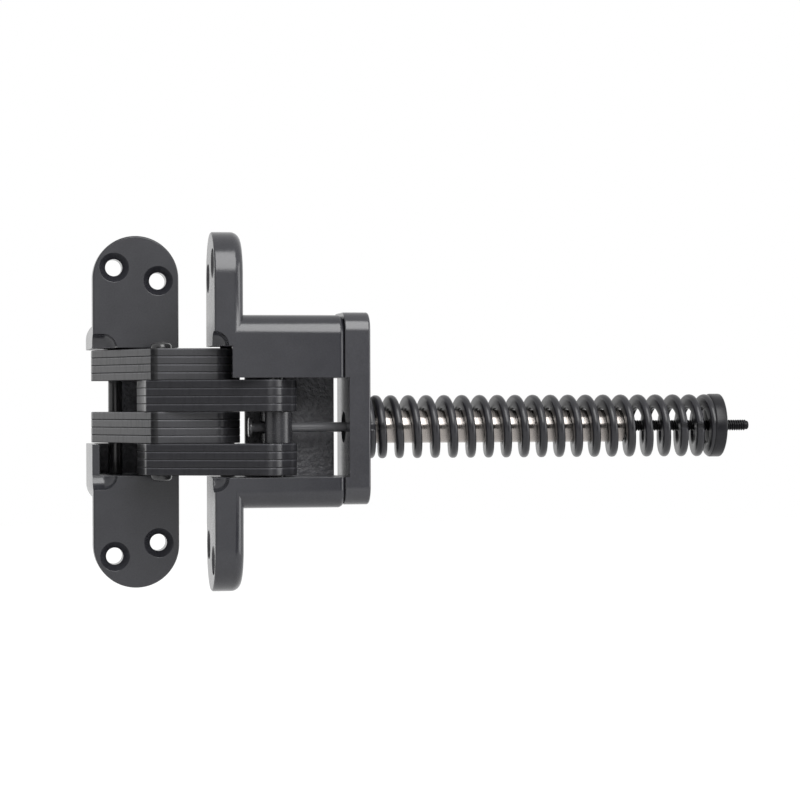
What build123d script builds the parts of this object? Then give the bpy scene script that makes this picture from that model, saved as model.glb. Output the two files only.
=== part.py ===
from build123d import *
import math
import os

# Concealed door hinge with a spring closer, shown opened to a right angle.
# All lengths are in millimetres. X = 0 is the face of the door leaf, Y = 0 the
# face of the jamb leaf, and Z runs along the hinge pins from the leaf middle.
# Both leaves and both link sets are the same shape: the jamb side is the door
# side turned half round the line X = Y.

# Leaf plate
leaf_height = 117.5
leaf_width = 28.6
flange_thickness = 9.5
flange_back_radius = 3.2
face_edge_chamfer = 0.4
corner_offset = 8.4

# Wood screw holes, measured from the middle of the leaf
screw_hole_radius = 2.85
screw_head_radius = 4.93
countersink_angle = 82.0
outer_hole_offset = 7.15
outer_hole_end_margin = 10.55
inner_hole_offset = 7.5
inner_hole_end_margin = 14.95

# Housing behind the plate
body_height = 62.8
body_corner_radius = 6.4
rear_edge_round = 1.8
door_body_depth = 42.4
jamb_back_wall = 3.0
rear_recess_depth = 1.5
side_wall = 2.4
wall_clearance = 0.6
near_notch_depth = 5.8
far_opening_depth = 12.6
jamb_back_notch = 9.1

# Link stacks, in four rows of laminated plates
row_count = 4
row_pitch = 10.4
plates_per_stack = 4
stack_clearance = 0.02

# Link geometry at the right-angle pose
pivot_x = 6.6
pivot_y = -12.0
elbow = -15.6
slide_x = 21.5
slide_y = -28.3
closed_gap = 2.0
quarter_turn = 90.0

# Link plate outline
pivot_eye_radius = 4.2
elbow_eye_radius = 5.6
slide_eye_radius = 4.3
heel_radius = 4.0
heel_forward = 2.3
heel_aside = 1.2
toe_radius = 5.0
toe_x = -31.6
toe_y = 18.5
elbow_corner_x = -19.4
elbow_corner_y = -20.8
elbow_chamfer_x = -16.9
elbow_chamfer_y = -21.6
shoulder_radius = 5.0
shoulder_x = 2.0
shoulder_y = -17.3
relief_clearance = 0.5
hook_round = 2.5

# Pins
pin_radius = 2.4
running_clearance = 0.05
sliding_clearance = 0.3
pivot_pin_depth = 5.0
pin_head_radius = 3.5
pin_head_height = 2.1
pin_head_round = 1.2
pin_head_gap = 0.07
groove_depth = 3.6
slide_pin_reach = 3.2
pin_end_chamfer = 0.4
pocket_radius = 4.6
pocket_reach = 3.4

# End plate
end_plate_thickness = 8.4
end_plate_edge_radius = 0.8
end_plate_lift = 0.9
seam_chamfer = 0.3
counterbore_radius = 5.1
counterbore_depth = 1.0
end_screw_margin = 4.6
end_screw_radius = 1.75
end_screw_head_radius = 3.3
end_screw_length = 14.8
end_screw_slot_width = 0.9
end_screw_slot_depth = 0.8

# Guide tube, pull rod and spring
tube_radius = 4.7
tube_bore_radius = 3.3
tube_drop = 1.1
tube_end_x = 138.6
tube_end_round = 0.6
rod_head_x = 12.5
rod_head_radius = 3.15
rod_head_thickness = 0.8
rod_shank_radius = 1.65
rod_shank_length = 4.7
rod_radius = 1.4
thread_radius = 1.83
thread_length = 82.0
rod_end_x = 182.0
rod_end_chamfer = 0.3
nut_x = 168.0
nut_thickness = 4.1
nut_radius = 10.6
nut_edge_radius = 0.6
wire_radius = 1.75
coil_radius = 8.7
coil_turns = 18
closed_turns = 1
coil_touch_gap = 0.06

# Yoke
yoke_radius = 4.6
yoke_arm = 10.0
yoke_slot_clearance = 0.35
yoke_side_gap = 0.15

# Worked-out places
mouth_half = row_count / 2 * row_pitch + wall_clearance
outer_side = -(corner_offset + leaf_width)
inner_side = -corner_offset
middle = (outer_side + inner_side) / 2
outer_hole_height = leaf_height / 2 - outer_hole_end_margin
inner_hole_height = leaf_height / 2 - inner_hole_end_margin
end_screw_height = body_height / 2 - end_screw_margin
rod_z = -row_pitch / 2
recess_x = door_body_depth + rear_recess_depth
window_rows = (-mouth_half, row_pitch + wall_clearance)
end_plate_x = door_body_depth + end_plate_thickness
jamb_body_depth = door_body_depth + jamb_back_wall
plate_thickness = (row_pitch - stack_clearance) / plates_per_stack
link_bore_radius = pin_radius + running_clearance
half_round = Axis((0, 0, 0), (1, 1, 0))

# Motion of the links: fold runs from +90 when shut to -90 when laid flat
pivot = complex(pivot_x, pivot_y)
elbow_point = complex(elbow, elbow)
slide_point = complex(slide_x, slide_y)
jamb_slide = complex(slide_y, slide_x)
reach = abs(elbow_point - pivot)
open_angle = math.degrees(math.atan2(elbow - pivot_y, elbow - pivot_x))
shut_angle = -math.degrees(math.acos(-(closed_gap / 2 + pivot_x) / reach))
swing_ratio = ((shut_angle - open_angle) % 360) / quarter_turn


def turn(vector, degrees):
    return vector * complex(math.cos(math.radians(degrees)), math.sin(math.radians(degrees)))


def elbow_at(fold):
    return pivot + turn(elbow_point - pivot, swing_ratio * fold)


def slide_at(fold):
    return elbow_at(fold) + turn(slide_point - elbow_point, (1 - swing_ratio) * fold)


def xy(point):
    return (point.real, point.imag)


def block(x_span, y_span, z_span):
    size = [high - low for low, high in (x_span, y_span, z_span)]
    centre = [(low + high) / 2 for low, high in (x_span, y_span, z_span)]
    return Pos(*centre) * Box(*size)


def upright_pin(place, radius, low, high):
    return Pos(place[0], place[1], (low + high) / 2) * Cylinder(radius, high - low)


def chamfered_pin(place, radius, low, high):
    pin = upright_pin(place, radius, low, high)
    return chamfer(pin.edges().filter_by(GeomType.CIRCLE), pin_end_chamfer)


def stadium_bar(height, start, end):
    profile = Plane.YZ * Pos(middle, 0) * Rot(0, 0, 90) * SlotOverall(height, leaf_width)
    return Pos(start, 0, 0) * extrude(profile, end - start)


def housing_bar(height, start, end):
    profile = Plane.YZ * Pos(middle, 0) * RectangleRounded(leaf_width, height, body_corner_radius)
    return Pos(start, 0, 0) * extrude(profile, end - start)


def rod_bar(radius, start, end, drop=0.0):
    profile = Pos(middle, rod_z - drop) * Circle(radius)
    return Plane.YZ.offset(start) * extrude(profile, end - start)


# Leaf casting: plate, housing, mouth, window, pin pockets and slide grooves
def screw_hole(y, z):
    sink = (screw_head_radius - screw_hole_radius) / math.tan(math.radians(countersink_angle / 2))
    shank = Circle(screw_hole_radius)
    hole = Plane.YZ * Pos(y, z) * extrude(shank, flange_thickness)
    cone = Cone(screw_head_radius, screw_hole_radius, sink)
    return hole + Pos(sink / 2, y, z) * Rot(0, 90, 0) * cone


def head_pocket(z):
    centre_y = outer_side + pocket_reach
    bore = Pos(0, centre_y, z) * Rot(90, 0, 0) * Cylinder(
        pocket_radius, leaf_width, align=(Align.CENTER, Align.CENTER, Align.MIN)
    )
    return bore + Pos(0, centre_y, z) * Sphere(pocket_radius)


def slide_groove():
    folds = [quarter_turn * step / 6 for step in range(-6, 7)]
    path = Spline(*[xy(slide_at(fold)) for fold in folds])
    width = 2 * (pin_radius + sliding_clearance)
    ends = [Pos(*xy(slide_at(fold))) * Circle(width / 2) for fold in (-quarter_turn, quarter_turn)]
    height = 2 * (mouth_half + groove_depth)
    return Pos(0, 0, -height / 2) * extrude(trace(path, width) + ends[0] + ends[1], height)


def leaf_casting(body_depth, cavity_depth):
    plate = stadium_bar(leaf_height, 0, flange_thickness)
    plate = fillet(plate.faces().sort_by(Axis.X)[-1].edges(), flange_back_radius)
    plate = chamfer(plate.faces().sort_by(Axis.X)[0].edges(), face_edge_chamfer)
    body = housing_bar(body_height, flange_thickness / 2, body_depth)
    body = fillet(body.faces().sort_by(Axis.X)[-1].edges(), rear_edge_round)
    casting = plate + body
    rows = (-mouth_half, mouth_half)
    near_skin = (outer_side - 1, outer_side + side_wall + 1)
    inside = (outer_side + side_wall, inner_side - side_wall)
    casting -= block((-1, cavity_depth), inside, rows)
    casting -= block((-1, near_notch_depth), near_skin, rows)
    casting -= block((-1, far_opening_depth), (inside[1] - 1, inner_side + 1), rows)
    casting -= block((-1, cavity_depth), near_skin, window_rows)
    for side in (-1, 1):
        casting -= head_pocket(side * mouth_half)
        casting -= screw_hole(middle - outer_hole_offset, side * outer_hole_height)
        casting -= screw_hole(middle + inner_hole_offset, side * inner_hole_height)
    casting -= slide_groove()
    pin_end = mouth_half + pivot_pin_depth
    casting -= upright_pin(xy(pivot), pin_radius, -pin_end, pin_end)
    return casting


door_casting = leaf_casting(door_body_depth, door_body_depth + 1)
screw_places = [(middle, side * end_screw_height) for side in (-1, 1)]
for y, z in screw_places:
    depth = end_screw_length - end_plate_thickness
    screw_bore = Plane.YZ.offset(door_body_depth - depth) * Pos(y, z) * extrude(
        Circle(end_screw_radius), depth
    )
    door_casting -= screw_bore

jamb_casting = leaf_casting(jamb_body_depth, recess_x)
jamb_casting -= block(
    (recess_x - 1, jamb_body_depth + 1),
    (outer_side - 1, outer_side + jamb_back_notch),
    window_rows,
)
jamb_casting = jamb_casting.rotate(half_round, 180)

# End plate with its tube seat and a recess behind the window, and its two screws
end_plate = Pos(0, 0, end_plate_lift) * housing_bar(body_height, door_body_depth, end_plate_x)
end_plate = fillet(end_plate.faces().sort_by(Axis.X)[-1].edges(), end_plate_edge_radius)
end_plate = chamfer(end_plate.faces().sort_by(Axis.X)[0].edges(), seam_chamfer)
end_plate -= block((door_body_depth - 1, recess_x), (outer_side - 1, inner_side + 1), window_rows)
tube_start_x = recess_x + counterbore_depth
end_plate -= rod_bar(tube_radius, recess_x, end_plate_x, tube_drop)
end_plate -= rod_bar(counterbore_radius, recess_x, tube_start_x, tube_drop)
end_screws = []
head_depth = end_screw_head_radius - end_screw_radius
for y, z in screw_places:
    shank = Plane.YZ.offset(end_plate_x - end_screw_length) * Pos(y, z) * extrude(
        Circle(end_screw_radius), end_screw_length
    )
    head = Pos(end_plate_x - head_depth / 2, y, z) * Rot(0, 90, 0) * Cone(
        end_screw_radius, end_screw_head_radius, head_depth
    )
    screw = shank + head
    end_plate -= screw
    screw -= block(
        (end_plate_x - end_screw_slot_depth, end_plate_x + 1),
        (y - end_screw_head_radius, y + end_screw_head_radius),
        (z - end_screw_slot_width / 2, z + end_screw_slot_width / 2),
    )
    end_screws.append(screw)

# Guide tube, pressed into the end plate
guide_tube = rod_bar(tube_radius, tube_start_x, tube_end_x, tube_drop)
guide_tube = fillet(guide_tube.faces().sort_by(Axis.X)[-1].edges(), tube_end_round)
guide_tube -= rod_bar(tube_bore_radius, 0, tube_end_x, tube_drop)


# Link plates: a bent bar with three eyes and a hook that clears the other set's pivot
def link_plate(bore_radii):
    corner = Line((elbow_corner_x, elbow_corner_y), (elbow_chamfer_x, elbow_chamfer_y))
    places = (xy(pivot), xy(elbow_point), xy(jamb_slide))
    eyes = [
        Pos(*place) * Circle(radius)
        for place, radius in zip(places, (pivot_eye_radius, elbow_eye_radius, slide_eye_radius))
    ]
    toe = Pos(toe_x, toe_y) * Circle(toe_radius)
    shoulder = Pos(shoulder_x, shoulder_y) * Circle(shoulder_radius)
    arm = make_hull(eyes[0].edges() + eyes[1].edges() + shoulder.edges() + corner.edges())
    heel = Pos(jamb_slide.real + heel_aside, jamb_slide.imag + heel_forward) * Circle(heel_radius)
    leg = make_hull(eyes[1].edges() + eyes[2].edges() + toe.edges() + corner.edges())
    leg += make_hull(eyes[2].edges() + heel.edges())
    other_pivot = complex(pivot_y, pivot_x) - elbow_point
    flat_angle = math.degrees(math.atan2(other_pivot.imag, other_pivot.real))
    flat_angle += (2 * swing_ratio - 1) * quarter_turn
    relief_arc = CenterArc(xy(elbow_point), reach, flat_angle, -quarter_turn / 2)
    relief = SlotArc(relief_arc, 2 * (pin_radius + relief_clearance))
    outline = arm + leg - relief
    outline = fillet(outline.vertices().sort_by_distance(relief_arc @ 1)[:2], hook_round)
    for place, radius in zip(places, bore_radii):
        outline -= Pos(*place) * Circle(radius)
    return extrude(outline, plate_thickness)


def stack_levels(row):
    top = (row_count / 2 - row) * row_pitch - stack_clearance / 2
    return [top - (plate + 1) * plate_thickness for plate in range(plates_per_stack)]


door_link_plate = link_plate((link_bore_radius, pin_radius, pin_radius))
door_links = [
    Pos(0, 0, level) * door_link_plate for row in (0, 2) for level in stack_levels(row)
]
jamb_link_plate = link_plate((link_bore_radius, link_bore_radius, link_bore_radius))
jamb_links = [
    (Pos(0, 0, level) * jamb_link_plate).rotate(half_round, 180)
    for row in (0, 2)
    for level in stack_levels(row)
]

# Pins: one fixed pivot in each leaf, the peened centre pin and the jamb slide pin
pivot_pin_end = mouth_half + pivot_pin_depth
door_pivot_pin = upright_pin(xy(pivot), pin_radius, -pivot_pin_end, pivot_pin_end)
jamb_pivot_pin = door_pivot_pin.rotate(half_round, 180)
head_base = row_count / 2 * row_pitch - stack_clearance / 2 + pin_head_gap
centre_pin = upright_pin(xy(elbow_point), pin_radius, -head_base, head_base)
for side in (-1, 1):
    head = Pos(elbow, elbow, side * (head_base + pin_head_height / 2)) * Cylinder(
        pin_head_radius, pin_head_height
    )
    rim = head.edges().filter_by(GeomType.CIRCLE).sort_by(Axis.Z)[0 if side < 0 else -1]
    centre_pin += fillet(rim, pin_head_round)
slide_pin_end = mouth_half + slide_pin_reach
jamb_slide_pin = chamfered_pin(xy(jamb_slide), pin_radius, -slide_pin_end, slide_pin_end)

# Yoke: trunnions in the slide grooves and a slotted arm that the rod pulls
slot_offsets = [middle - slide_at(quarter_turn * step / 12).imag for step in range(-12, 13)]
slot_margin = rod_shank_radius + yoke_slot_clearance
yoke_low = -row_pitch + stack_clearance / 2 + yoke_side_gap
yoke_high = -stack_clearance / 2 - yoke_side_gap
yoke = upright_pin(xy(slide_point), yoke_radius, yoke_low, yoke_high)
yoke += block(
    (slide_x - yoke_radius, slide_x + yoke_radius),
    (slide_y, slide_y + yoke_arm),
    (yoke_low, yoke_high),
)
yoke += chamfered_pin(xy(slide_point), pin_radius, -slide_pin_end, slide_pin_end)
yoke -= block(
    (slide_x - yoke_radius - 1, slide_x + yoke_radius + 1),
    (slide_y + min(slot_offsets) - slot_margin, slide_y + max(slot_offsets) + slot_margin),
    (rod_z - slot_margin, rod_z + slot_margin),
)

# Pull rod and the spring nut on its thread
thread_start_x = rod_end_x - thread_length
rod_shank_x = rod_head_x + rod_head_thickness
pull_rod = rod_bar(rod_head_radius, rod_head_x, rod_shank_x)
pull_rod += rod_bar(rod_shank_radius, rod_shank_x, rod_shank_x + rod_shank_length)
pull_rod += rod_bar(rod_radius, rod_shank_x + rod_shank_length, thread_start_x)
thread = rod_bar(thread_radius, thread_start_x, rod_end_x)
pull_rod += chamfer(thread.faces().sort_by(Axis.X)[-1].edges(), rod_end_chamfer)
spring_nut = rod_bar(nut_radius, nut_x, nut_x + nut_thickness)
spring_nut = fillet(spring_nut.edges().filter_by(GeomType.CIRCLE), nut_edge_radius)
spring_nut -= rod_bar(thread_radius, nut_x, nut_x + nut_thickness)

# Closing spring: one closed coil at each end and open coils between
closed_pitch = 2 * wire_radius + coil_touch_gap
spring_length = nut_x - end_plate_x
helix_length = spring_length - 2 * wire_radius
open_length = helix_length - 2 * closed_turns * closed_pitch
open_pitch = open_length / coil_turns
coil_start = end_plate_x + wire_radius
spring_line = Wire(
    [
        Helix(closed_pitch, closed_turns * closed_pitch, coil_radius),
        Pos(0, 0, closed_turns * closed_pitch) * Helix(open_pitch, open_length, coil_radius),
        Pos(0, 0, helix_length - closed_turns * closed_pitch)
        * Helix(closed_pitch, closed_turns * closed_pitch, coil_radius),
    ]
)
wire_section = Plane(spring_line @ 0, z_dir=spring_line % 0) * Circle(wire_radius)
coil = sweep(wire_section, spring_line, is_frenet=True, transition=Transition.TRANSFORMED)
closing_spring = Pos(coil_start, middle, rod_z) * Rot(0, 90, 0) * coil

# One file for each piece
pieces = {
    "door_leaf_casting": door_casting,
    "end_plate": end_plate,
    "end_plate_screws": Compound(children=end_screws),
    "guide_tube": guide_tube,
    "door_pivot_pin": door_pivot_pin,
    "jamb_leaf_casting": jamb_casting,
    "jamb_pivot_pin": jamb_pivot_pin,
    "centre_pin": centre_pin,
    "jamb_slide_pin": jamb_slide_pin,
    "spring_yoke": yoke,
    "pull_rod": pull_rod,
    "spring_nut": spring_nut,
    "closing_spring": closing_spring,
}
for number, plate in enumerate(door_links, 1):
    pieces[f"door_link_plate_{number}"] = plate
for number, plate in enumerate(jamb_links, 1):
    pieces[f"jamb_link_plate_{number}"] = plate

os.makedirs("parts", exist_ok=True)
for name, piece in pieces.items():
    export_step(piece, f"parts/{name}.step")
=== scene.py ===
import math

import bmesh
import bpy
from mathutils import Matrix, Vector


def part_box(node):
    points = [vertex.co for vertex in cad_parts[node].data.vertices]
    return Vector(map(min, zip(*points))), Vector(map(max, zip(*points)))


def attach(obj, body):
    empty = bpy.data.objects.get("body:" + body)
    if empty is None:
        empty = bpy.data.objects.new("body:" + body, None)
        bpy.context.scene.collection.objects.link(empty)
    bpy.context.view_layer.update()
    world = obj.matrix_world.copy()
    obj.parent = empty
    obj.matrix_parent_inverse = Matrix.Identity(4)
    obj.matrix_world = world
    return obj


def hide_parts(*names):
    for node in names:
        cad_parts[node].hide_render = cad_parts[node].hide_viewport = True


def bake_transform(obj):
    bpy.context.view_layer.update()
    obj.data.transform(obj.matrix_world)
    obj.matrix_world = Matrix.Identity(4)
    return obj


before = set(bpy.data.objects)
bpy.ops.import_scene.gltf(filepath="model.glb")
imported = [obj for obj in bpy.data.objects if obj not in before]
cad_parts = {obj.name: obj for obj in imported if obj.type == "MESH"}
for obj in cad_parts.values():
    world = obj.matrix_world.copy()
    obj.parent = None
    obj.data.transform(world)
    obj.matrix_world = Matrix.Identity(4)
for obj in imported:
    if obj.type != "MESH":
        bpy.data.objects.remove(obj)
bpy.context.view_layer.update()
mm = 0.001

# Camera: the hinge is looked at square to the jamb leaf's face and a little
# from the left, so that the door leaf shows its side and its open window.
# The place, turn and lens come from matching the leaves, holes and rod tip.
camera_place = Vector((-87.5, -909.5, 2.27)) * mm
camera_yaw = 0.1679
camera_pitch = 0.0015
camera_roll = -0.0035
focal_pixels = 2718.6
picture_pixels = 800.0
sensor_width = 36.0
camera_data = bpy.data.cameras.new("camera")
camera_data.sensor_width = sensor_width
camera_data.lens = focal_pixels / picture_pixels * sensor_width
camera_data.clip_start = 0.01
camera = bpy.data.objects.new("camera", camera_data)
bpy.context.collection.objects.link(camera)
turn_to_side = Matrix.Rotation(-camera_yaw, 4, "Z")
tip_up = Matrix.Rotation(math.pi / 2 + camera_pitch, 4, "X")
roll = Matrix.Rotation(camera_roll, 4, "Z")
camera.matrix_world = Matrix.Translation(camera_place) @ turn_to_side @ tip_up @ roll
bpy.context.scene.camera = camera
bpy.context.scene.view_settings.view_transform = "Standard"

# Studio: a pale floor well below the held hinge, a white surround that shows
# in gloss, and three soft lamps: a tall one in front and above, one behind on
# the left for the link edges, and one on the right for the rounded link ends.
floor_middle = 0.07
floor_level = -0.17
floor_half_side = 3.0
floor_white = 0.93
paper_strength = 1.22
paper_share = 0.8
surround_strength = 1.0
ambient_strength = 0.4
floor_mesh = bpy.data.meshes.new("floor")
shape = bmesh.new()
bmesh.ops.create_grid(shape, x_segments=1, y_segments=1, size=floor_half_side)
bmesh.ops.translate(shape, verts=shape.verts, vec=(floor_middle, 0, floor_level))
shape.to_mesh(floor_mesh)
shape.free()
floor = bpy.data.objects.new("floor", floor_mesh)
bpy.context.collection.objects.link(floor)


def background_mix(tree, lit, shown, target):
    """Camera, gloss and glass rays see the shown shader, and the rest see the lit one."""
    path = tree.nodes.new("ShaderNodeLightPath")
    either = tree.nodes.new("ShaderNodeMath")
    either.operation = "MAXIMUM"
    tree.links.new(path.outputs["Is Camera Ray"], either.inputs[0])
    tree.links.new(path.outputs["Is Glossy Ray"], either.inputs[1])
    any_view = tree.nodes.new("ShaderNodeMath")
    any_view.operation = "MAXIMUM"
    tree.links.new(either.outputs[0], any_view.inputs[0])
    tree.links.new(path.outputs["Is Transmission Ray"], any_view.inputs[1])
    mix = tree.nodes.new("ShaderNodeMixShader")
    tree.links.new(any_view.outputs[0], mix.inputs[0])
    tree.links.new(lit, mix.inputs[1])
    tree.links.new(shown, mix.inputs[2])
    tree.links.new(mix.outputs[0], target)


floor_paint = bpy.data.materials.new("pale_floor")
floor_paint.use_nodes = True
tree = floor_paint.node_tree
paint = tree.nodes["Principled BSDF"]
paint.inputs["Base Color"].default_value = (floor_white, floor_white, floor_white, 1)
paint.inputs["Roughness"].default_value = 0.9
paint.inputs["Specular IOR Level"].default_value = 0.1
paper = tree.nodes.new("ShaderNodeEmission")
paper.inputs["Strength"].default_value = paper_strength
soft_floor = tree.nodes.new("ShaderNodeMixShader")
soft_floor.inputs[0].default_value = paper_share
tree.links.new(paint.outputs[0], soft_floor.inputs[1])
tree.links.new(paper.outputs[0], soft_floor.inputs[2])
floor_output = tree.nodes["Material Output"].inputs[0]
background_mix(tree, paint.outputs[0], soft_floor.outputs[0], floor_output)
floor_mesh.materials.append(floor_paint)

world = bpy.data.worlds.new("studio")
bpy.context.scene.world = world
world.use_nodes = True
tree = world.node_tree
seen = tree.nodes["Background"]
seen.inputs["Color"].default_value = (1, 1, 1, 1)
seen.inputs["Strength"].default_value = surround_strength
ambient = tree.nodes.new("ShaderNodeBackground")
ambient.inputs["Color"].default_value = (1, 1, 1, 1)
ambient.inputs["Strength"].default_value = ambient_strength
background_mix(tree, ambient.outputs[0], seen.outputs[0], tree.nodes["World Output"].inputs[0])


def soft_lamp(name, place, aim, width, height, power):
    data = bpy.data.lights.new(name, "AREA")
    data.shape = "RECTANGLE"
    data.size = width
    data.size_y = height
    data.energy = power
    lamp = bpy.data.objects.new(name, data)
    bpy.context.collection.objects.link(lamp)
    direction = Vector(aim) - Vector(place)
    turn = direction.to_track_quat("-Z", "Y").to_matrix().to_4x4()
    lamp.matrix_world = Matrix.Translation(place) @ turn


soft_lamp("front_lamp", (0.24, -1.0, 0.82), (0.04, 0, 0), width=0.75, height=1.15, power=18.0)
soft_lamp("left_lamp", (-0.76, 0.93, 0.12), (0, 0, 0), width=0.55, height=0.55, power=0.85)
soft_lamp("right_lamp", (1.15, -0.45, 0.15), (0.03, 0, 0), width=0.7, height=0.7, power=5.0)


# Dark cards on both sides of the camera. The right one draws the dark line
# along the bright tube, and the left one darkens the corners of the links.
# The camera itself sees them white.
card_black = bpy.data.materials.new("dark_card")
card_black.use_nodes = True
tree = card_black.node_tree
black = tree.nodes["Principled BSDF"]
black.inputs["Base Color"].default_value = (0.01, 0.01, 0.01, 1)
black.inputs["Specular IOR Level"].default_value = 0.0
unseen = tree.nodes.new("ShaderNodeEmission")
seen_by = tree.nodes.new("ShaderNodeLightPath")
card_mix = tree.nodes.new("ShaderNodeMixShader")
tree.links.new(seen_by.outputs["Is Camera Ray"], card_mix.inputs[0])
tree.links.new(black.outputs[0], card_mix.inputs[1])
tree.links.new(unseen.outputs[0], card_mix.inputs[2])
tree.links.new(card_mix.outputs[0], tree.nodes["Material Output"].inputs[0])
for side, width, height, place, heading in (
    ("right", 0.34, 0.25, (0.28, -0.55, -0.04), 0.0),
    ("left", 0.62, 0.42, (-0.57, -0.76, 0.045), 37.0),
):
    mesh = bpy.data.meshes.new(side + "_card")
    shape = bmesh.new()
    bmesh.ops.create_grid(shape, x_segments=1, y_segments=1, size=0.5)
    bmesh.ops.scale(shape, verts=shape.verts, vec=(width, height, 1))
    stand_up = Matrix.Rotation(math.pi / 2, 3, "X")
    turn_in = Matrix.Rotation(math.radians(-heading), 3, "Z")
    bmesh.ops.rotate(shape, verts=shape.verts, matrix=turn_in @ stand_up)
    bmesh.ops.translate(shape, verts=shape.verts, vec=place)
    shape.to_mesh(mesh)
    shape.free()
    mesh.materials.append(card_black)
    card = bpy.data.objects.new(side + "_card", mesh)
    bpy.context.collection.objects.link(card)


# Leaves: two zinc castings and an end plate under one satin black coat.
# They are cast with soft edges, and the walls inside the housings keep the
# rough cast skin. The end plate takes the rod through its round hole.
casting_edge = 0.25 * mm
end_plate_edge = 0.25 * mm
sharp_angle = math.radians(32)
seam_angle = math.radians(2)
weld_distance = 0.002 * mm
grain_spread = 0.15
gloss_change = 0.03
coat_dark = (0.0195, 0.0198, 0.0240)
coat_pale = (0.0265, 0.0268, 0.0318)
skin_dark = (0.0513, 0.0513, 0.0567)
skin_pale = (0.1080, 0.1080, 0.1188)
end_plate_dark = (0.0322, 0.0322, 0.0364)
end_plate_pale = (0.0406, 0.0406, 0.0462)


def node_input(group, name, kind, value):
    socket = group.interface.new_socket(name, in_out="INPUT", socket_type=kind)
    socket.default_value = value


def link(tree, source, target):
    tree.links.new(source, target)


def math_node(tree, operation, value, *numbers):
    """One Math node: the linked value first, then plain numbers."""
    node = tree.nodes.new("ShaderNodeMath")
    node.operation = operation
    link(tree, value, node.inputs[0])
    for place, number in enumerate(numbers, 1):
        node.inputs[place].default_value = number
    return node.outputs[0]


def range_of(tree, value, low, high, start=0.3, end=0.7):
    spread = tree.nodes.new("ShaderNodeMapRange")
    spread.inputs["From Min"].default_value = start
    spread.inputs["From Max"].default_value = end
    spread.inputs["To Min"].default_value = low
    spread.inputs["To Max"].default_value = high
    link(tree, value, spread.inputs["Value"])
    return spread.outputs["Result"]


def make_grain_group():
    """Fine pebble of a coat or a cast skin: one height and one mask, from Object coordinates."""
    group = bpy.data.node_groups.new("surface_grain", "ShaderNodeTree")
    node_input(group, "Vector", "NodeSocketVector", (0, 0, 0))
    node_input(group, "Grain Size", "NodeSocketFloat", 1.0)
    node_input(group, "Roughness Spread", "NodeSocketFloat", 0.5)
    group.interface.new_socket("Height", in_out="OUTPUT", socket_type="NodeSocketFloat")
    group.interface.new_socket("Mask", in_out="OUTPUT", socket_type="NodeSocketFloat")
    inside = group.nodes.new("NodeGroupInput")
    outside = group.nodes.new("NodeGroupOutput")
    per_metre = group.nodes.new("ShaderNodeMath")
    per_metre.operation = "DIVIDE"
    per_metre.inputs[0].default_value = 1000.0
    link(group, inside.outputs["Grain Size"], per_metre.inputs[1])
    fine = group.nodes.new("ShaderNodeTexNoise")
    fine.inputs["Detail"].default_value = 3.0
    fine.inputs["Roughness"].default_value = 0.6
    link(group, inside.outputs["Vector"], fine.inputs["Vector"])
    link(group, per_metre.outputs[0], fine.inputs["Scale"])
    broad = group.nodes.new("ShaderNodeTexNoise")
    broad.inputs["Scale"].default_value = 120.0
    broad.inputs["Detail"].default_value = 2.0
    link(group, inside.outputs["Vector"], broad.inputs["Vector"])
    spread = range_of(group, broad.outputs["Fac"], 0.0, 1.0, start=0.35, end=0.65)
    mixed = group.nodes.new("ShaderNodeMix")
    link(group, inside.outputs["Roughness Spread"], mixed.inputs[0])
    link(group, fine.outputs["Fac"], mixed.inputs[2])
    link(group, spread, mixed.inputs[3])
    link(group, fine.outputs["Fac"], outside.inputs["Height"])
    link(group, mixed.outputs[0], outside.inputs["Mask"])
    return group


grain_group = make_grain_group()


def new_material(name):
    material = bpy.data.materials.new(name)
    material.use_nodes = True
    tree = material.node_tree
    return material, tree, tree.nodes["Principled BSDF"]


def place_grain(tree, size):
    coordinates = tree.nodes.new("ShaderNodeTexCoord")
    grain = tree.nodes.new("ShaderNodeGroup")
    grain.node_tree = grain_group
    grain.inputs["Grain Size"].default_value = size
    grain.inputs["Roughness Spread"].default_value = grain_spread
    link(tree, coordinates.outputs["Object"], grain.inputs["Vector"])
    return grain


def ramp_between(tree, factor, first, second, low=0.3, high=0.7):
    ramp = tree.nodes.new("ShaderNodeValToRGB")
    ramp.color_ramp.elements[0].position = low
    ramp.color_ramp.elements[0].color = (*first, 1)
    ramp.color_ramp.elements[1].position = high
    ramp.color_ramp.elements[1].color = (*second, 1)
    link(tree, factor, ramp.inputs["Fac"])
    return ramp.outputs["Color"]


def bumped(tree, height, strength, distance, target):
    bump = tree.nodes.new("ShaderNodeBump")
    bump.inputs["Strength"].default_value = strength
    bump.inputs["Distance"].default_value = distance
    link(tree, height, bump.inputs["Height"])
    link(tree, bump.outputs["Normal"], target)


def coat_material(name, dark, pale, roughness, grain_size, bump_depth, strength=0.3, specular=0.5):
    """Black coat or skin: grain_size and bump_depth give the size of its pebble."""
    material, tree, shader = new_material(name)
    grain = place_grain(tree, grain_size)
    mask = grain.outputs["Mask"]
    gloss = range_of(tree, mask, roughness - gloss_change, roughness + gloss_change)
    link(tree, ramp_between(tree, mask, dark, pale), shader.inputs["Base Color"])
    link(tree, gloss, shader.inputs["Roughness"])
    bumped(tree, grain.outputs["Height"], strength, bump_depth, shader.inputs["Normal"])
    shader.inputs["Specular IOR Level"].default_value = specular
    return material


casting_coat = coat_material(
    "satin_black_casting", coat_dark, coat_pale, roughness=0.21, grain_size=0.5, bump_depth=0.014 * mm
)
cast_skin = coat_material(
    "rough_cast_skin",
    skin_dark,
    skin_pale,
    roughness=0.40,
    grain_size=1.5,
    bump_depth=0.40 * mm,
    strength=1.0,
)
end_plate_coat = coat_material(
    "satin_black_end_plate",
    end_plate_dark,
    end_plate_pale,
    roughness=0.21,
    grain_size=0.4,
    bump_depth=0.009 * mm,
)


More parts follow.
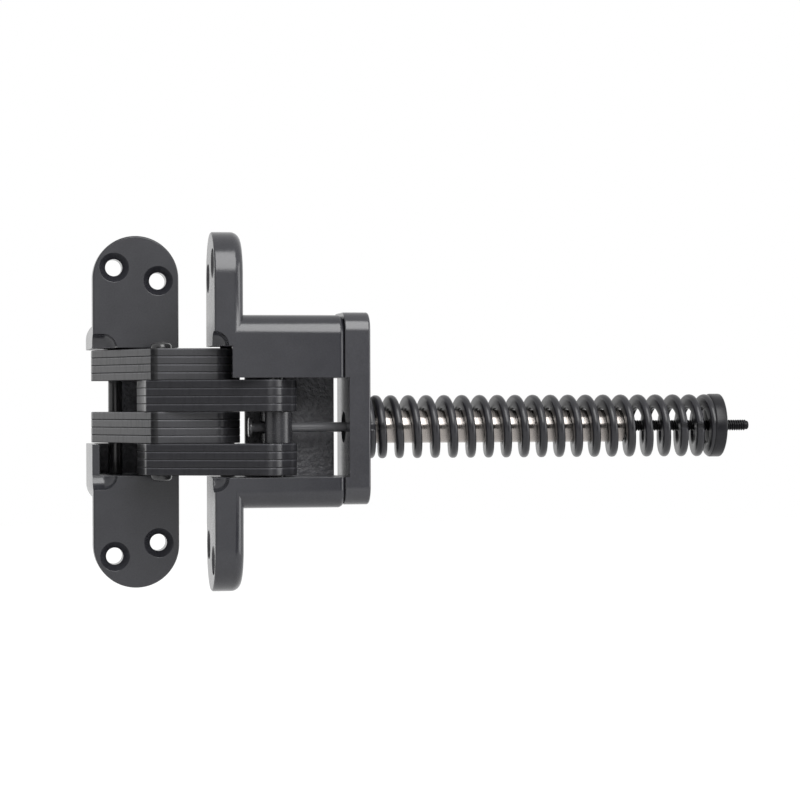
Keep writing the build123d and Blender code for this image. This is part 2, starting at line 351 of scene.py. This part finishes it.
def finished_object(name, shape, material, smooth_angle=sharp_angle):
    mesh = bpy.data.meshes.new(name)
    shape.to_mesh(mesh)
    shape.free()
    mesh.polygons.foreach_set("use_smooth", [True] * len(mesh.polygons))
    mesh.set_sharp_from_angle(angle=smooth_angle)
    mesh.materials.append(material)
    piece = bpy.data.objects.new(name, mesh)
    bpy.context.collection.objects.link(piece)
    return piece


def round_sharp_edges(shape, width):
    sharp = [e for e in shape.edges if len(e.link_faces) == 2 and e.calc_face_angle() > sharp_angle]
    bmesh.ops.bevel(
        shape,
        geom=sharp,
        offset=width,
        offset_type="OFFSET",
        segments=2,
        profile=0.5,
        affect="EDGES",
        clamp_overlap=True,
        material=-1,
    )


def soft_edged_copy(node, edge, material):
    """The CAD solid with welded triangles and small rounds on its sharp edges."""
    shape = bmesh.new()
    shape.from_mesh(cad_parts[node].data)
    bmesh.ops.remove_doubles(shape, verts=shape.verts, dist=weld_distance)
    bmesh.ops.dissolve_limit(shape, angle_limit=seam_angle, verts=shape.verts, edges=shape.edges)
    round_sharp_edges(shape, edge)
    piece = finished_object(node + "_finish", shape, material)
    flats = piece.modifiers.new("flat_faces", "WEIGHTED_NORMAL")
    flats.keep_sharp = True
    flats.weight = 100
    return piece


def dress(node, body, piece):
    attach(piece, body)
    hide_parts(node)


inside_low = -34.7 * mm
inside_high = -10.7 * mm
inside_depth = 43.95 * mm
inside_half_height = 21.5 * mm
for node, body, across, along in (
    ("door_leaf_casting", "door_leaf", 1, 0),
    ("jamb_leaf_casting", "jamb_leaf", 0, 1),
):
    leaf = soft_edged_copy(node, casting_edge, casting_coat)
    leaf.data.materials.append(cast_skin)
    for face in leaf.data.polygons:
        middle = face.center
        within = inside_low < middle[across] < inside_high and abs(middle.z) < inside_half_height
        if within and casting_edge < middle[along] < inside_depth:
            face.material_index = 1
    dress(node, body, leaf)

end_plate = soft_edged_copy("end_plate", end_plate_edge, end_plate_coat)
tube_low, tube_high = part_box("guide_tube")
rod_low, rod_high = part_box("pull_rod")
rod_axis_y = (rod_low.y + rod_high.y) / 2
rod_axis_z = (rod_low.z + rod_high.z) / 2
hole_z = (tube_low.z + tube_high.z) / 2
hole_reach = 5.6 * mm
for corner in end_plate.data.vertices:
    if math.hypot(corner.co.y - rod_axis_y, corner.co.z - hole_z) < hole_reach:
        corner.co.z += rod_axis_z - hole_z
dress("end_plate", "door_leaf", end_plate)


# End plate screws: two slotted flat-head steel screws under the same coat,
# driven from behind, where the spring leaves room for a driver.
screw_edge = 0.08 * mm
screw_dark = (0.0196, 0.0196, 0.0210)
screw_pale = (0.0308, 0.0308, 0.0322)
screw_coat = coat_material(
    "satin_black_screw", screw_dark, screw_pale, roughness=0.28, grain_size=0.3, bump_depth=0.006 * mm
)
end_plate_screws = soft_edged_copy("end_plate_screws", screw_edge, screw_coat)
dress("end_plate_screws", "door_leaf", end_plate_screws)


# Link plates: sixteen stamped steel plates, four to a stack. Their edges keep
# the upright drag marks of the punch. Painted shade darkens the seam between
# the plates, and a painted highlight runs along the top of each edge. The door
# plates' flats are painted paler than the jamb plates' flats, as painted light
# and painted shade on one coat. The door plates also carry a painted shade band
# on the shoulder where an edge turns away from the flat.
plate_edge = 0.38 * mm
plate_pitch = 2.6 * mm
# One coat on both stacks: the door plates' flat colour is painted paler (painted light) and the jamb
# plates' flat colour darker (painted shade).
door_link_flat_painted_light = (0.125, 0.125, 0.137)
# Painted shade: a near-black colour on the door plates' shoulder, where the edge turns from the flat
# toward the left.
door_link_shoulder_shade = (0.008, 0.008, 0.009)
jamb_link_flat_painted_shade = (0.062, 0.062, 0.069)
punch_mark_dark = (0.025, 0.025, 0.029)
punch_mark_pale = (0.074, 0.074, 0.082)
# Painted shade in the seam between plates, and a painted highlight along the top of each plate's
# edge.
seam_shade_tone = 0.1
plain_tone = 0.4
painted_highlight_tone = 1.0
tone_steps = (
    (0.05, seam_shade_tone),
    (0.11, plain_tone),
    (0.78, plain_tone),
    (0.86, painted_highlight_tone),
    (0.93, painted_highlight_tone),
    (0.98, seam_shade_tone),
)
marks_per_metre = 900.0
plate_shift = 0.0031
mark_slant = 0.12
link_roughness = 0.28
gap_roughness = 0.85
link_specular = 0.36
mark_depth = 0.018 * mm


def coloured_mix(tree, factor, first, second):
    """A colour Mix node: its two colours are each a linked output or three numbers."""
    mix = tree.nodes.new("ShaderNodeMix")
    mix.data_type = "RGBA"
    link(tree, factor, mix.inputs["Factor"])
    for name, colour in (("A", first), ("B", second)):
        if isinstance(colour, tuple):
            mix.inputs[name].default_value = (*colour, 1)
        else:
            link(tree, colour, mix.inputs[name])
    return mix.outputs["Result"]


def stamped_edge_material(name, flat, shoulder):
    """Black coat, smooth on the flats, with punch marks on the left-facing edges, painted shade in
    the seams, a painted highlight along each top edge and a painted shade band on the shoulder.
    """
    material, tree, shader = new_material(name)
    coordinates = tree.nodes.new("ShaderNodeTexCoord")
    split = tree.nodes.new("ShaderNodeSeparateXYZ")
    link(tree, coordinates.outputs["Object"], split.inputs[0])
    facing = tree.nodes.new("ShaderNodeSeparateXYZ")
    link(tree, coordinates.outputs["Normal"], facing.inputs[0])

    # Upright marks that start afresh on each plate.
    plates = math_node(tree, "DIVIDE", split.outputs["Z"], plate_pitch)
    layer = math_node(tree, "FLOOR", plates)
    slant = math_node(tree, "MULTIPLY", split.outputs["Z"], mark_slant)
    apart = tree.nodes.new("ShaderNodeMath")
    apart.operation = "MULTIPLY_ADD"
    link(tree, layer, apart.inputs[0])
    apart.inputs[1].default_value = plate_shift
    link(tree, slant, apart.inputs[2])
    joined = tree.nodes.new("ShaderNodeCombineXYZ")
    link(tree, split.outputs["X"], joined.inputs["X"])
    link(tree, split.outputs["Y"], joined.inputs["Y"])
    link(tree, apart.outputs[0], joined.inputs["Z"])
    streak = tree.nodes.new("ShaderNodeTexNoise")
    streak.inputs["Scale"].default_value = marks_per_metre
    streak.inputs["Detail"].default_value = 2.5
    streak.inputs["Roughness"].default_value = 0.65
    link(tree, joined.outputs[0], streak.inputs["Vector"])
    marked = range_of(tree, facing.outputs["X"], 0.2, 1.0, start=-0.5, end=-0.85)

    # Tone up the side of a plate: painted seam shade, plain, painted highlight, painted seam shade.
    # The flats are plain.
    rise = math_node(tree, "FRACT", plates)
    tone = tree.nodes.new("ShaderNodeValToRGB")
    stops = tone.color_ramp.elements
    for (place, amount), stop in zip((tone_steps[0], tone_steps[-1]), list(stops)):
        stop.position = place
        stop.color = (amount, amount, amount, 1)
    for place, amount in tone_steps[1:-1]:
        stops.new(place).color = (amount, amount, amount, 1)
    link(tree, rise, tone.inputs["Fac"])
    upward = math_node(tree, "ABSOLUTE", facing.outputs["Z"])
    on_flat = range_of(tree, upward, 0.0, 1.0, start=0.9, end=0.99)
    side_tone = tree.nodes.new("ShaderNodeMix")
    link(tree, on_flat, side_tone.inputs[0])
    link(tree, tone.outputs["Color"], side_tone.inputs[2])
    side_tone.inputs[3].default_value = plain_tone

    marks = ramp_between(tree, streak.outputs["Fac"], punch_mark_dark, punch_mark_pale, 0.36, 0.50)
    # Painted shade: between the flat and the left-facing edge, the colour drops to the shoulder
    # colour, which is near-black on the door plates.
    past_shoulder_shade = range_of(tree, facing.outputs["X"], 0.0, 1.0, start=-0.12, end=-0.04)
    smooth = coloured_mix(tree, past_shoulder_shade, shoulder, flat)
    edge_colour = coloured_mix(tree, marked, smooth, marks)
    toned = tree.nodes.new("ShaderNodeMix")
    toned.data_type = "RGBA"
    toned.blend_type = "MULTIPLY"
    toned.inputs["Factor"].default_value = 1.0
    link(tree, edge_colour, toned.inputs["A"])
    link(tree, side_tone.outputs[0], toned.inputs["B"])
    link(tree, toned.outputs["Result"], shader.inputs["Base Color"])
    gloss = range_of(
        tree, side_tone.outputs[0], gap_roughness, link_roughness, start=seam_shade_tone, end=plain_tone
    )
    link(tree, gloss, shader.inputs["Roughness"])
    height = tree.nodes.new("ShaderNodeMath")
    height.operation = "MULTIPLY"
    link(tree, streak.outputs["Fac"], height.inputs[0])
    link(tree, marked, height.inputs[1])
    bumped(tree, height.outputs[0], 0.5, mark_depth, shader.inputs["Normal"])
    shader.inputs["Specular IOR Level"].default_value = link_specular
    return material


for link_set, body, flat, shoulder in (
    ("door_link_plate", "door_link", door_link_flat_painted_light, door_link_shoulder_shade),
    ("jamb_link_plate", "jamb_link", jamb_link_flat_painted_shade, jamb_link_flat_painted_shade),
):
    link_coat = stamped_edge_material("stamped_" + link_set, flat, shoulder)
    for number in range(1, 9):
        node = f"{link_set}_{number}"
        dress(node, body, soft_edged_copy(node, plate_edge, link_coat))


# Pins: turned steel. The centre pin is peened over at both ends into low
# domes with a rolled rim; the pivots and the slide pin are plain rods.
lathe_steps = 48
pin_round = 0.35 * mm
pin_dark = (0.0189, 0.0189, 0.0203)
pin_pale = (0.0324, 0.0324, 0.0338)
pin_coat = coat_material(
    "satin_black_pin", pin_dark, pin_pale, roughness=0.22, grain_size=0.3, bump_depth=0.005 * mm
)
head_shape = (
    (0.0, 1.0),
    (0.35, 1.0),
    (0.62, 0.93),
    (0.80, 0.80),
    (0.86, 0.62),
    (0.84, 0.45),
    (1.0, 0.28),
    (1.0, 0.0),
)


def lathe(name, profile, start, axis, material, steps=lathe_steps, rounding=0.0):
    """A closed turned piece: profile gives (distance along the axis, radius) in metres."""
    across = Vector((0, 0, 1)) if abs(Vector(axis).z) < 0.5 else Vector((1, 0, 0))
    along = Vector(axis)
    shape = bmesh.new()
    points = [shape.verts.new(Vector(start) + along * x + across * r) for x, r in profile]
    edges = [shape.edges.new(pair) for pair in zip(points, points[1:])]
    bmesh.ops.spin(
        shape,
        geom=points + edges,
        cent=start,
        axis=axis,
        angle=2 * math.pi,
        steps=steps,
        use_merge=True,
    )
    bmesh.ops.remove_doubles(shape, verts=shape.verts, dist=weld_distance)
    bmesh.ops.recalc_face_normals(shape, faces=shape.faces)
    if rounding:
        round_sharp_edges(shape, rounding)
    return finished_object(name, shape, material)


def peened_profile(low, high, radius, head_radius, head_height):
    """Half section of a pin with a domed, rolled head at each end."""
    upper = [(high + head_height * h, head_radius * r) for h, r in head_shape]
    lower = [(low - head_height * h, head_radius * r) for h, r in reversed(head_shape)]
    return lower + [(low, radius), (high, radius)] + upper


pin_low, pin_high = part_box("centre_pin")
pin_middle = (pin_low + pin_high) / 2
head_height = 2.1 * mm
head_radius = (pin_high.x - pin_low.x) / 2
pin_radius = 2.4 * mm
pin_base = Vector((pin_middle.x, pin_middle.y, 0))
shank_low = pin_low.z + head_height
shank_high = pin_high.z - head_height
peened = peened_profile(shank_low, shank_high, pin_radius, head_radius, head_height)
centre_pin = lathe("centre_pin_finish", peened, pin_base, (0, 0, 1), pin_coat)
dress("centre_pin", "door_link", centre_pin)
for node, body in (
    ("door_pivot_pin", "door_leaf"),
    ("jamb_pivot_pin", "jamb_leaf"),
    ("jamb_slide_pin", "door_link"),
):
    low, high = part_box(node)
    middle = (low + high) / 2
    bar = [(low.z, 0), (low.z, pin_radius), (high.z, pin_radius), (high.z, 0)]
    base = (middle.x, middle.y, 0)
    piece = lathe(node + "_finish", bar, base, (0, 0, 1), pin_coat, rounding=pin_round)
    dress(node, body, piece)


# Yoke: a machined steel block on two long trunnions, which the closer rod
# pulls. Its round near end is turned, so it shows soft upright bands.
yoke_edge = 0.15 * mm
yoke_dark = (0.0216, 0.0216, 0.0243)
yoke_pale = (0.0324, 0.0324, 0.0351)
yoke_coat = coat_material(
    "satin_black_yoke", yoke_dark, yoke_pale, roughness=0.26, grain_size=0.3, bump_depth=0.004 * mm
)
dress("spring_yoke", "yoke", soft_edged_copy("spring_yoke", yoke_edge, yoke_coat))


# Pull rod: one steel rod, black from end to end, with a head in front of the
# yoke and a rolled thread behind. The plain length is given a paler base
# colour, a painted sheen that stands in for the highlight along it.
rod_length = rod_high.x - rod_low.x
rod_head_radius = (rod_high.y - rod_low.y) / 2
rod_head_thickness = 0.8 * mm
rod_edge = 0.08 * mm
rod_shank_end = 5.5 * mm
rod_shank_radius = 1.65 * mm
rod_radius = 1.6 * mm
thread_start = rod_length - 82.0 * mm
thread_root_radius = 1.46 * mm
thread_crest_radius = 1.83 * mm
thread_pitch = 0.794 * mm
thread_steps = 14
rod_start = Vector((rod_low.x, rod_axis_y, rod_axis_z))
tip_chamfer = 0.3 * mm
# Painted sheen: the plain length's grey base colour stands in for the highlight along the black rod.
rod_painted_sheen_dark = (0.0924, 0.0924, 0.0980)
rod_painted_sheen_pale = (0.1176, 0.1176, 0.1232)
thread_dark = (0.0042, 0.0042, 0.0049)
thread_pale = (0.0070, 0.0070, 0.0084)
painted_sheen_rod_coat = coat_material(
    "black_rod_with_painted_sheen", rod_painted_sheen_dark, rod_painted_sheen_pale, roughness=0.20, grain_size=0.3, bump_depth=0.003 * mm
)
thread_black = coat_material(
    "black_rolled_thread",
    thread_dark,
    thread_pale,
    roughness=0.36,
    grain_size=0.3,
    bump_depth=0.004 * mm,
    specular=0.16,
)
rod_profile = [
    (0, 0),
    (0, rod_head_radius),
    (rod_head_thickness, rod_head_radius),
    (rod_head_thickness, rod_shank_radius),
    (rod_shank_end, rod_shank_radius),
    (rod_shank_end, rod_radius),
    (thread_start, rod_radius),
    (thread_start, 0),
]
plain_rod = lathe("pull_rod_finish", rod_profile, rod_start, (1, 0, 0), painted_sheen_rod_coat, rounding=rod_edge)
dress("pull_rod", "rod", plain_rod)

core_profile = [
    (thread_start, 0),
    (thread_start, thread_root_radius),
    (rod_length - tip_chamfer, thread_root_radius),
    (rod_length, thread_root_radius - tip_chamfer),
    (rod_length, 0),
]
thread_core = lathe("pull_rod_thread_core", core_profile, rod_start, (1, 0, 0), thread_black)
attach(thread_core, "rod")

ridge = bmesh.new()
half_pitch = thread_pitch / 2
first = thread_start + thread_pitch
overlap = 0.1 * mm
section = (
    (-half_pitch * 0.96, thread_root_radius - overlap),
    (-half_pitch * 0.22, thread_crest_radius),
    (half_pitch * 0.22, thread_crest_radius),
    (half_pitch * 0.96, thread_root_radius - overlap),
)
corners = [ridge.verts.new(rod_start + Vector((first + x, 0, r))) for x, r in section]
start_face = ridge.faces.new(corners)
turns = int((rod_length - tip_chamfer - half_pitch - first) / thread_pitch)
bmesh.ops.spin(
    ridge,
    geom=[start_face],
    cent=rod_start,
    axis=(1, 0, 0),
    dvec=(thread_pitch / thread_steps, 0, 0),
    angle=2 * math.pi * turns,
    steps=thread_steps * turns,
)
bmesh.ops.recalc_face_normals(ridge, faces=ridge.faces)
thread_ridge = finished_object("pull_rod_thread", ridge, thread_black, math.radians(25))
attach(thread_ridge, "rod")


# Guide tube: a steel tube with a satin nickel plate, pressed into the end
# plate round the rod. It carries the spring's open coils.
tube_length = tube_high.x - tube_low.x
tube_radius = 5.4 * mm
tube_bore = 3.3 * mm
tube_round = 0.8 * mm
tube_start = Vector((tube_low.x, rod_axis_y, rod_axis_z))
nickel_dark = (0.305, 0.28, 0.262)
nickel_pale = (0.36, 0.333, 0.315)
turning_lines = (2400, 90, 90)


def steel_material(name, dark, pale, roughness, stretch):
    """Bright metal with fine lines drawn or turned along one direction."""
    material, tree, shader = new_material(name)
    coordinates = tree.nodes.new("ShaderNodeTexCoord")
    drawn = tree.nodes.new("ShaderNodeMapping")
    drawn.inputs["Scale"].default_value = stretch
    link(tree, coordinates.outputs["Object"], drawn.inputs["Vector"])
    lines = tree.nodes.new("ShaderNodeTexNoise")
    lines.inputs["Scale"].default_value = 1.0
    lines.inputs["Detail"].default_value = 3.0
    link(tree, drawn.outputs[0], lines.inputs["Vector"])
    link(tree, ramp_between(tree, lines.outputs["Fac"], dark, pale), shader.inputs["Base Color"])
    gloss = range_of(tree, lines.outputs["Fac"], roughness - 0.05, roughness + 0.06)
    link(tree, gloss, shader.inputs["Roughness"])
    bumped(tree, lines.outputs["Fac"], 0.25, 0.004 * mm, shader.inputs["Normal"])
    shader.inputs["Metallic"].default_value = 1.0
    return material


tube_nickel = steel_material("satin_nickel_tube", nickel_dark, nickel_pale, 0.24, turning_lines)
tree = tube_nickel.node_tree
turned = tree.nodes.new("ShaderNodeTangent")
turned.direction_type = "RADIAL"
turned.axis = "X"
link(tree, turned.outputs["Tangent"], tree.nodes["Principled BSDF"].inputs["Tangent"])
tree.nodes["Principled BSDF"].inputs["Anisotropic"].default_value = 0.85
tree.nodes["Principled BSDF"].inputs["Anisotropic Rotation"].default_value = 0.25
round_steps = 6
tube_end = [
    (
        tube_length - tube_round * (1 - math.sin(math.pi / 2 * step / round_steps)),
        tube_radius - tube_round * (1 - math.cos(math.pi / 2 * step / round_steps)),
    )
    for step in range(round_steps + 1)
]
tube_profile = (
    [(0, tube_bore), (0, tube_radius)]
    + tube_end
    + [(tube_length, tube_bore), (0, tube_bore)]
)
guide_tube = lathe("guide_tube_finish", tube_profile, tube_start, (1, 0, 0), tube_nickel, steps=96)
dress("guide_tube", "door_leaf", guide_tube)


# Spring nut: a black turned disc on the thread. The spring pushes on it, and
# turning it sets the closing force.
nut_low, nut_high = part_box("spring_nut")
nut_start = Vector((nut_low.x, (nut_low.y + nut_high.y) / 2, (nut_low.z + nut_high.z) / 2))
nut_thickness = nut_high.x - nut_low.x
nut_radius = (nut_high.z - nut_low.z) / 2
nut_bore = 1.5 * mm
nut_round = 0.6 * mm
nut_dark = (0.0070, 0.0070, 0.0084)
nut_pale = (0.0126, 0.0126, 0.0154)
nut_black = coat_material(
    "satin_black_nut",
    nut_dark,
    nut_pale,
    roughness=0.33,
    grain_size=0.4,
    bump_depth=0.012 * mm,
    specular=0.24,
)
corner_steps = 5


def quarter_round(centre, radius, first_angle):
    return [
        (
            centre[0] + radius * math.cos(first_angle - math.pi / 2 * step / corner_steps),
            centre[1] + radius * math.sin(first_angle - math.pi / 2 * step / corner_steps),
        )
        for step in range(corner_steps + 1)
    ]


nut_profile = (
    [(0, nut_bore)]
    + quarter_round((nut_round, nut_radius - nut_round), nut_round, math.pi)
    + quarter_round((nut_thickness - nut_round, nut_radius - nut_round), nut_round, math.pi / 2)
    + [(nut_thickness, nut_bore), (0, nut_bore)]
)
spring_nut = lathe("spring_nut_finish", nut_profile, nut_start, (1, 0, 0), nut_black, steps=96)
dress("spring_nut", "rod", spring_nut)


# Closing spring: black oil-hardened spring wire of a flat, rounded section,
# wound right-handed, with both ends closed and ground square. It shortens as
# the door opens and the rod is drawn in.
spring_low, spring_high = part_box("closing_spring")
wire_width = 2.7 * mm
wire_depth = 4.7 * mm
wire_corner = 1.2 * mm
ground_pitch = 2.76 * mm
first_pitch = 3.55 * mm
last_pitch = 5.1 * mm
joining_pitch = 5.6 * mm
open_turns = 16
first_front = 1.05 * mm
coil_radius = (spring_high.y - spring_low.y) / 2 - wire_depth / 2
spring_start = Vector(
    (spring_low.x, (spring_low.y + spring_high.y) / 2, (spring_low.z + spring_high.z) / 2)
)
wound_length = spring_high.x - spring_low.x - first_front
open_pitch = (wound_length - first_pitch - last_pitch - 2 * joining_pitch) / open_turns
steps_per_turn = 48
windings = (
    (1, ground_pitch),
    (1, first_pitch),
    (1, joining_pitch),
    (open_turns, open_pitch),
    (1, joining_pitch),
    (1, last_pitch),
    (0.5, ground_pitch),
)
wire_dark = (0.0105, 0.0105, 0.0120)
wire_pale = (0.0165, 0.0165, 0.0210)
wire_black = coat_material(
    "black_spring_wire",
    wire_dark,
    wire_pale,
    roughness=0.31,
    grain_size=0.5,
    bump_depth=0.006 * mm,
    specular=0.42,
)
coil = bmesh.new()
bmesh.ops.create_grid(coil, x_segments=1, y_segments=1, size=0.5)
bmesh.ops.scale(coil, verts=coil.verts, vec=(wire_width, wire_depth, 1))
bmesh.ops.bevel(
    coil,
    geom=coil.verts,
    offset=wire_corner,
    offset_type="OFFSET",
    segments=5,
    profile=0.5,
    affect="VERTICES",
    clamp_overlap=True,
    material=-1,
)
wire_place = spring_start + Vector((first_front - ground_pitch, -coil_radius, 0))
bmesh.ops.translate(coil, verts=coil.verts, vec=wire_place)
growing = list(coil.faces)
for turns, pitch in windings:
    spun = bmesh.ops.spin(
        coil,
        geom=growing,
        cent=spring_start,
        axis=(1, 0, 0),
        dvec=(pitch / steps_per_turn, 0, 0),
        angle=2 * math.pi * turns,
        steps=int(steps_per_turn * turns),
    )
    growing = [part for part in spun["geom_last"] if isinstance(part, bmesh.types.BMFace)]
for ground_place, outward in ((spring_low, -1), (spring_high, 1)):
    cut = bmesh.ops.bisect_plane(
        coil,
        geom=coil.verts[:] + coil.edges[:] + coil.faces[:],
        dist=weld_distance / 10,
        plane_co=ground_place,
        plane_no=(outward, 0, 0),
        clear_outer=True,
    )
    rim = [part for part in cut["geom_cut"] if isinstance(part, bmesh.types.BMEdge)]
    open_rim = [edge for edge in rim if edge.is_valid and edge.is_boundary]
    bmesh.ops.holes_fill(coil, edges=open_rim, sides=0)
bmesh.ops.triangulate(coil, faces=[face for face in coil.faces if len(face.verts) > 4])
bmesh.ops.recalc_face_normals(coil, faces=coil.faces)
closing_spring = finished_object("closing_spring_finish", coil, wire_black, math.radians(40))
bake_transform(closing_spring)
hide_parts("closing_spring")
